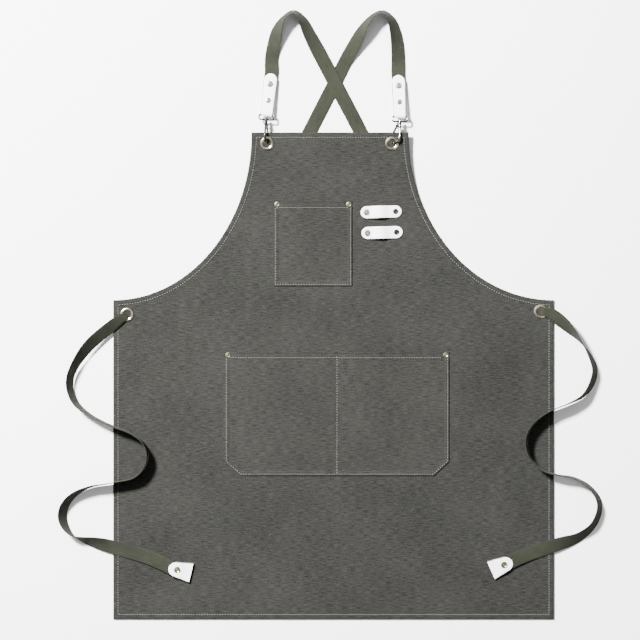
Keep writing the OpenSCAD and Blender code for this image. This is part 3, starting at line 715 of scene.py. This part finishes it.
# What is fastened to the cloth, the pockets and the tool loops: middle, half width, half height.
FEATURES = [(-32.6, 596.5, 62, 67), (5.5, 326, 178, 98), (76, 631, 34, 28)]

# The cloth sags from SAG_FROM to SAG_FULL away from what holds it.
SAG_DEPTH = 1.9
SAG_FROM = 8
SAG_FULL = 55
SAG_ABOVE_SIDE = 60

# The sag's waves: share, sizes along X and Y, and where in the noise they are taken.
SAG_BASE = 0.5
SAG_WAVES = [(0.9, 105, 75, (3.1, 1.7, 0.3)), (0.35, 38, 46, (9.2, 4.4, 2.1))]


def arm_x(side, y):
    """Where the armhole's edge is at flat height y."""
    if y <= SIDE_H:
        return side * SKIRT_HALF
    depth = SKIRT_HALF - BIB_HALF - side * BIB_SHIFT
    share = (PANEL_H - y) / ARM_DEPTH
    return side * (SKIRT_HALF - depth * math.sqrt(max(0, 1 - share * share)))


def sag(x, y):
    """How far the loose cloth lies below its seams and fittings."""
    clear = min(y, arm_x(1, y) - x, x - arm_x(-1, y), PANEL_H - y)
    if y < SIDE_H:
        clear = min(clear, SIDE_H + SAG_ABOVE_SIDE - y)
    for cx, cy, half_w, half_h in FEATURES:
        clear = min(clear, max(abs(x - cx) - half_w, abs(y - cy) - half_h))
    if clear < SAG_FROM:
        return 0.0
    fade = eased(SAG_FROM, SAG_FULL, clear)
    wave = SAG_BASE
    for share, size_x, size_y, (at_x, at_y, at_z) in SAG_WAVES:
        wave += share * noise.noise(Vector((x / size_x + at_x, y / size_y + at_y, at_z)))
    return -SAG_DEPTH * fade * min(1, max(0, wave))


def on_cloth(x, y, h):
    """Flat cloth coordinates, and height over the canvas's underside, to real ones."""
    d = y - FOLD_Y
    share = min(1.0, max(0.0, (d + FOLD_EASE) / (2 * FOLD_EASE)))
    angle = SLOPE * share
    if d <= FOLD_EASE:
        rise = math.sin(SLOPE) * FOLD_EASE * share * share
    else:
        rise = math.sin(SLOPE) * d
    real_y = FOLD_Y + d * (math.cos(angle) if d > 0 else 1)
    return (x, real_y - h * math.sin(angle), HEM_T + rise + h * math.cos(angle) + sag(x, y))


def grid_solid(name, columns, rows, top, bottom, material):
    """A closed sheet: top(u, v) and bottom(u, v) give a point and its flat coordinates."""
    points, uvs, faces = [], [], []
    for surface in (top, bottom):
        for v in rows:
            for u in columns:
                p, flat = surface(u, v)
                points.append(p)
                uvs.append(flat)
    nu, nv = len(columns), len(rows)
    under = nu * nv
    for j in range(nv - 1):
        for i in range(nu - 1):
            a = j * nu + i
            quad = (a, a + 1, a + nu + 1, a + nu)
            faces.append(quad)
            faces.append(tuple(under + k for k in reversed(quad)))
    rim = list(range(nu)) + [j * nu + nu - 1 for j in range(1, nv)]
    rim += [(nv - 1) * nu + i for i in range(nu - 2, -1, -1)]
    rim += [j * nu for j in range(nv - 2, 0, -1)]
    for a, b in zip(rim, rim[1:] + rim[:1]):
        faces.append((b, a, a + under, b + under))
    return piece(name, points, faces, material, uvs)


# The canvas stops inside the hem's roll.
INSET = 0.6
CANVAS_UNDER = 0.05
ARM_STEPS = 72
SKIRT_STEPS = 72
ACROSS_STEPS = 110
arm_turns = [math.radians(90 * k / ARM_STEPS) for k in range(1, ARM_STEPS + 1)]
panel_rows = [INSET + (SIDE_H - INSET) * k / SKIRT_STEPS for k in range(SKIRT_STEPS + 1)]
panel_rows += [PANEL_H - ARM_DEPTH * math.cos(t) for t in arm_turns]
panel_rows[-1] = PANEL_H - INSET
panel_columns = [2 * k / ACROSS_STEPS - 1 for k in range(ACROSS_STEPS + 1)]


def panel_point(u, v, h):
    """The cloth at share u across, from -1 to 1, and flat height v."""
    left, right = arm_x(-1, v) + INSET, arm_x(1, v) - INSET
    x = (left + right) / 2 + u * (right - left) / 2
    return on_cloth(x, v, h), (x, v)


panel = grid_solid("canvas_cloth", panel_columns, panel_rows,
                   lambda u, v: panel_point(u, v, CANVAS_T),
                   lambda u, v: panel_point(u, v, CANVAS_UNDER), CANVAS)
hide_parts("canvas_panel")
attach(panel, "apron")


def between(a, b, n):
    """n points from a up to, but without, b."""
    return [(a[0] + (b[0] - a[0]) * k / n, a[1] + (b[1] - a[1]) * k / n) for k in range(n)]


def armhole(side, d):
    """An armhole's edge from the side up to the bib's top, set in by d."""
    a = SKIRT_HALF - BIB_HALF - side * BIB_SHIFT + d
    b = ARM_DEPTH + d
    start, stop = math.asin(d / a), math.acos(d / b)
    turns = [start + (stop - start) * k / ARM_STEPS for k in range(ARM_STEPS + 1)]
    return [(side * (SKIRT_HALF - a * math.sin(t)), PANEL_H - b * math.cos(t))
            for t in turns]


HEM_STEPS = 80
SIDE_STEPS = 60
TOP_STEPS = 30


def outline(d):
    """The cloth's edge, set in by d, always with the same number of points."""
    right, left = armhole(1, d), armhole(-1, d)[::-1]
    low_left, low_right = (-SKIRT_HALF + d, d), (SKIRT_HALF - d, d)
    return (between(low_left, low_right, HEM_STEPS)
            + between(low_right, right[0], SIDE_STEPS) + right[:-1]
            + between(right[-1], left[0], TOP_STEPS) + left[:-1]
            + between(left[-1], low_left, SIDE_STEPS))


# The hem's cross-section: inset from the edge, and height over the canvas's underside.
HEM_PROFILE = [
    (0.9, 1.12), (0.3, 0.8), (0, 0.1), (0, -1.4), (0.3, -2.05), (0.9, -2.4), (8.6, -2.4),
    (9, -2.2), (9, 0.2), (9, 0.98), (8.75, 1.2), (8.1, 1.26), (7.75, 1.06), (7.4, 1.26),
    (6, 1.34), (3, 1.3),
]


HEM_PUCKER = 0.12
PUCKER_SIZE = 7
PUCKER_FROM = 0.5


def hem_band():
    """The turned hem, as one closed roll around the cloth."""
    rings = [outline(d) for d, h in HEM_PROFILE]
    points, uvs, faces = [], [], []
    n = len(rings[0])
    for (d, h), ring in zip(HEM_PROFILE, rings):
        for x, y in ring:
            pucker = 0
            if h > PUCKER_FROM:
                spot = Vector((x / PUCKER_SIZE, y / PUCKER_SIZE, d))
                pucker = HEM_PUCKER * noise.noise(spot)
            points.append(on_cloth(x, y, h + pucker))
            uvs.append((x, y))
    m = len(HEM_PROFILE)
    for i in range(m):
        k = (i + 1) % m
        for j in range(n):
            j2 = (j + 1) % n
            faces.append((i * n + j, i * n + j2, k * n + j2, k * n + j))
    return piece("hem_cloth", points, faces, CANVAS, uvs)


hem = hem_band()
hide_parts("skirt_hem", "bib_hem")
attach(hem, "apron")


# ---- Stitching ----


def along_line(points, pitch):
    """Middles and directions of stitches every pitch along a line of flat points."""
    pts = np.array(points, float)
    run = lengths(pts)
    count = max(1, int(run[-1] / pitch))
    for k in range(count):
        s = (k + 0.5) * run[-1] / count
        i = min(int(np.searchsorted(run, s)) - 1, len(pts) - 2)
        i = max(i, 0)
        t = (s - run[i]) / max(run[i + 1] - run[i], 1e-9)
        yield pts[i] + (pts[i + 1] - pts[i]) * t, math.atan2(*(pts[i + 1] - pts[i])[::-1])


STITCH_PITCH = 4.1
STITCH_L = 2.2
STITCH_R = 0.3
STITCH_SIDES = 6

# Rings along a stitch: share of its length, share of its radius, and height over the cloth.
STITCH_RINGS = [(-0.5, 0.35, -0.2), (-0.32, 0.9, 0.06), (0, 1.0, 0.12), (0.32, 0.9, 0.06),
                (0.5, 0.35, -0.2)]


def stitches(name, lines, place):
    """Short threads along lines of flat points; place(x, y) gives the cloth's surface."""
    around = STITCH_SIDES
    points, faces = [], []
    for line in lines:
        for spot, heading in along_line(line, STITCH_PITCH):
            ahead = Vector((math.cos(heading), math.sin(heading), 0))
            base = len(points)
            for s, swell, lift in STITCH_RINGS:
                flat = Vector((spot[0], spot[1], 0)) + ahead * s * STITCH_L
                c = Vector(place(flat.x, flat.y)) + Vector((0, 0, lift))
                for k in range(around):
                    a = 2 * math.pi * k / around
                    out = Vector((-ahead.y, ahead.x, 0)) * math.cos(a)
                    points.append(c + (out + Vector((0, 0, math.sin(a)))) * STITCH_R * swell)
            last = base + (len(STITCH_RINGS) - 1) * around
            for ring in range(base, last, around):
                for k in range(around):
                    q = (k + 1) % around
                    faces.append((ring + k, ring + q, ring + around + q, ring + around + k))
            faces.append(tuple(base + k for k in reversed(range(around))))
            faces.append(tuple(last + k for k in range(around)))
    return piece(name, points, faces, THREAD)


HEM_SEAM_INSET = 7.75
HEM_SEAM_H = 1.22
edge_line = outline(HEM_SEAM_INSET)
hem_thread = stitches("hem_stitching", [edge_line + edge_line[:1]],
                      lambda x, y: on_cloth(x, y, HEM_SEAM_H))
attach(hem_thread, "apron")


# ---- Pockets ----

# Pocket cloth, and what its turned edges, its mouth's hem and its mouth's fold add to it.
POCKET_T = 0.95
POCKET_UNDER = 0.02
POCKET_EDGE = 0.7
MOUTH_HEM = 0.35
MOUTH_EDGE = 0.45
MOUTH_EASE = 0.6
TURN_IN = (5.5, 7.5)
MOUTH_FOLD = (0.7, 2.4)

# The rivet at each upper corner holds the cloth down, and RIVET_EASE further it is loose.
RIVET_INSET = 5.2
RIVET_DROP = 4.5
RIVET_CAP_R = 4.6
RIVET_EASE = 3.5

# A pocket's slack front: how round a cell is across, and the size of its ripples.
BULGE_POWER = 0.8
RIPPLE_X = 42
RIPPLE_Y = 60

# A pocket's mesh: how many even rows and columns, and the extra ones counted from its edges.
POCKET_ROWS = 60
POCKET_COLUMNS = 96
EDGE_ROWS = [0.4, 1, 5.5, 6.5, 7.5]
MOUTH_ROWS = [0.35, 0.7, 1.3, 1.9, 2.4, 4, 6, 8]

# The pockets' seams.
SEAM_POINTS = 40
SEAM_INSET = 2.4
SEAM_STEP = 8
SEAM_LIFT = 0.1
SEAM_TOP_GAP = 1
MOUTH_SEAM_RISE = 1.2
SEAM_END_GAP = 3
CHAMFER_SHIFT = 0.414


class Pocket:
    """A patch pocket. x is its middle and y its bottom edge. Its lower corners are cut off by
    cut across and cut_h up, hem_drop is the depth of its mouth's hem, and crown is how far the
    middle of a cell stands off the cloth."""

    def __init__(self, name, x, y, width, height, cut, cut_h, cells, hem_drop, crown):
        self.name, self.x, self.y = name, x, y
        self.half, self.h = width / 2, height
        self.cut, self.cut_h, self.cells = cut, cut_h, cells
        self.hem_from, self.crown = height - hem_drop, crown

    def half_at(self, v):
        taper = self.cut * max(0.0, 1 - v / self.cut_h) if self.cut else 0.0
        return self.half - taper

    def lift(self, x, y):
        """How far the pocket's front stands off the cloth at flat x, y."""
        u = (x - self.x) / self.half
        v = (y - self.y) / self.h
        cell = (u + 1) / 2 * self.cells % 1.0
        bulge = math.sin(math.pi * min(max(cell, 0), 1)) ** BULGE_POWER
        if abs(u) > 0.999:
            bulge = 0.0
        rise = eased(0.02, 1.0, v)
        ripple = 0.5 + 0.5 * noise.noise(Vector((x / RIPPLE_X, y / RIPPLE_Y, self.h)))
        return self.crown * bulge * rise * (0.75 + 0.5 * ripple) * self.unriveted(x, y)

    def unriveted(self, x, y):
        """0 under a rivet's cap and 1 away from it."""
        across = self.half - RIVET_INSET - abs(x - self.x)
        away = math.hypot(across, self.y + self.h - RIVET_DROP - y)
        return eased(RIVET_CAP_R, RIVET_CAP_R + RIVET_EASE, away)

    def edge_fold(self, x, y):
        """How much thicker the cloth is where it is turned in, at flat x, y."""
        v = y - self.y
        edge = min(self.half_at(v) - abs(x - self.x), v)
        rounded = 0.6 + 0.4 * min(1, max(0, edge))
        turned_in = POCKET_EDGE * (1 - eased(*TURN_IN, edge)) * rounded
        mouth = MOUTH_HEM * eased(self.hem_from - MOUTH_EASE, self.hem_from + MOUTH_EASE, v)
        mouth += MOUTH_EDGE * (1 - eased(*MOUTH_FOLD, self.h - v))
        return (turned_in + mouth) * self.unriveted(x, y)

    def surface(self, x, y, extra=0.0):
        """The front's surface at flat x, y, and extra above it."""
        thick = POCKET_T + self.edge_fold(x, y)
        return on_cloth(x, y, CANVAS_T + thick + self.lift(x, y) + extra)

    def rows(self):
        """Evenly spaced upwards, and closer at the bottom edge, the mouth and its hem."""
        even = [self.h * k / POCKET_ROWS for k in range(POCKET_ROWS + 1)]
        corner = [self.cut_h] if self.cut else []
        hem = [self.hem_from - MOUTH_EASE, self.hem_from + MOUTH_EASE]
        return sorted(set(even + corner + hem + EDGE_ROWS + [self.h - d for d in MOUTH_ROWS]))

    def columns(self):
        """Evenly spaced across, and closer at the turned side edges."""
        even = [2 * k / POCKET_COLUMNS - 1 for k in range(POCKET_COLUMNS + 1)]
        close = [1 - d / self.half for d in EDGE_ROWS]
        return sorted(set(even + close + [-u for u in close]))

    def build(self):
        def point(u, v, top):
            x = self.x + u * self.half_at(v)
            y = self.y + v
            if top:
                return self.surface(x, y), (x, y)
            return on_cloth(x, y, CANVAS_T + self.lift(x, y) + POCKET_UNDER), (x, y)

        obj = grid_solid(self.name + "_cloth", self.columns(), self.rows(),
                         lambda u, v: point(u, v, True),
                         lambda u, v: point(u, v, False), POCKET)
        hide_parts(self.name)
        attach(obj, "apron")
        return obj

    def seam(self, inset):
        """Stitch line down one side, along the bottom and up the other."""
        left = self.x - self.half
        line = [(left + inset, self.y + (self.h - SEAM_TOP_GAP))]
        if self.cut:
            k = inset * CHAMFER_SHIFT
            line += [(left + inset, self.y + self.cut_h + k),
                     (left + self.cut + k, self.y + inset)]
        else:
            line += [(left + inset, self.y + inset)]
        line += [(2 * self.x - px, py) for px, py in reversed(line)]
        dense = []
        for a, b in zip(line, line[1:]):
            n = max(1, round(math.dist(a, b) / SEAM_STEP))
            dense += between(a, b, n)
        return dense + line[-1:]

    def sew(self):
        """Stitches along the edge, the mouth's hem and between the cells."""
        lines = [self.seam(SEAM_INSET)]
        y = self.y + self.hem_from + MOUTH_SEAM_RISE
        width = self.half - SEAM_END_GAP
        lines.append(between((self.x - width, y), (self.x + width, y), SEAM_POINTS))
        if self.cells > 1:
            low, high = self.y + SEAM_END_GAP, self.y + self.h - SEAM_TOP_GAP
            lines.append(between((self.x, low), (self.x, high), SEAM_POINTS))
        obj = stitches(self.name + "_stitching", lines,
                       lambda x, y: self.surface(x, y, SEAM_LIFT))
        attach(obj, "apron")
        return obj


pockets = [
    Pocket("bib_pocket", x=-32.6, y=529.5, width=124, height=134, cut=0, cut_h=0, cells=1,
           hem_drop=11, crown=2.6),
    Pocket("front_pocket", x=5.5, y=228.3, width=356, height=196, cut=24, cut_h=22, cells=2,
           hem_drop=10, crown=2.8),
]
pocket_objects = [(p.build(), p.sew()) for p in pockets]


# ---- Shoulder straps ----

# Inside the tab: distance along it, and the strap's width there. Then its full width just
# beyond the tab.
STRAP_INSIDE = [(20, 17), (35, 21), (50, 21), (64, 21)]
STRAP_OUT_D = 72

# Where one piece of a strap ends and the next begins: low on it, at its apex, at the crossing.
STRAP_BREAKS = [((-94, 915), (-64, 963), (16, 825)), ((102, 908), (77, 963), (-12, 825))]


def tab_point(i, distance):
    """Where tab i's middle line is, at distance from the bar."""
    spot = tab_frame(i)
    return spot @ Vector((distance * math.tan(math.radians(TAB_SKEW[i])), distance, 0))


def nearest(rows, spot):
    """The row that is nearest to spot as seen from above."""
    return int(np.argmin(np.hypot(rows[:, 0] - spot[0], rows[:, 1] - spot[1])))


for i, side in enumerate(SIDES):
    inside = [(*tab_point(i, d), 0, width) for d, width in STRAP_INSIDE]
    inside += [(*tab_point(i, STRAP_OUT_D), 0, WEB_W)]
    rows = route_rows(inside + [middle(r) for r in STRAPS[i]])
    low, apex, cross = (nearest(rows, p) for p in STRAP_BREAKS[i])
    run = lengths(rows[:, :3])
    spans = [("tab", 0, low, "tab_" + side, "ring_" + side),
             ("ring", low, apex, "ring_" + side, "hook_" + side),
             ("hook", apex, cross, "hook_" + side, "apron"),
             ("under", cross, len(rows) - 1, "apron", None)]
    for part, a, b, first, second in spans:
        obj = band("shoulder_strap_%s_%s" % (side, part), rows[a : b + 1], run[a])
        if second is None:
            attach(obj, first)
            continue
        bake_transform(obj)
        if part == "hook":
            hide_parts("shoulder_strap_" + side)
        if part == "tab":
            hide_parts("strap_end_" + side)


# ---- Metal and the plain CAD nodes ----

BRASS_NODES = ["bib_eyelet_left", "bib_eyelet_right", "side_eyelet_left",
               "side_eyelet_right", "eyelet_washers", "front_pocket_rivets",
               "bib_pocket_rivets", "tip_rivet_left", "tip_rivet_right"]
POLISHED_NODES = ["loop_cap_upper", "loop_cap_lower", "tab_rivets_left", "tab_rivets_right"]

METALS = dict.fromkeys(BRASS_NODES, BRASS) | dict.fromkeys(POLISHED_NODES, POLISHED)

for name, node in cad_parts.items():
    if node.hide_render:
        continue
    node.data.materials.clear()
    # Nodes that are not listed get the nickel that is darkened as painted shade.
    node.data.materials.append(METALS.get(name, NICKEL_PAINTED_DARK))
    shade(node.data, NODE_SHARP)


# ---- The ties' pieces and rows, read back and left as they are ----

for i, side in enumerate(SIDES):
    tie, rows = tie_pieces[i]


# ---- Floor ----

FLOOR_REACH = 6
floor_mesh = bpy.data.meshes.new("floor")
corners = [(-1, -1), (1, -1), (1, 1), (-1, 1)]
floor_mesh.from_pydata([(x * FLOOR_REACH, y * FLOOR_REACH, 0) for x, y in corners], [],
                       [(0, 1, 2, 3)])
floor = bpy.data.objects.new("floor", floor_mesh)
bpy.context.collection.objects.link(floor)
paper = Shader("paper")
floor_mesh.materials.append(paper.finish(Base_Color=(0.93, 0.93, 0.93), Roughness=0.95))
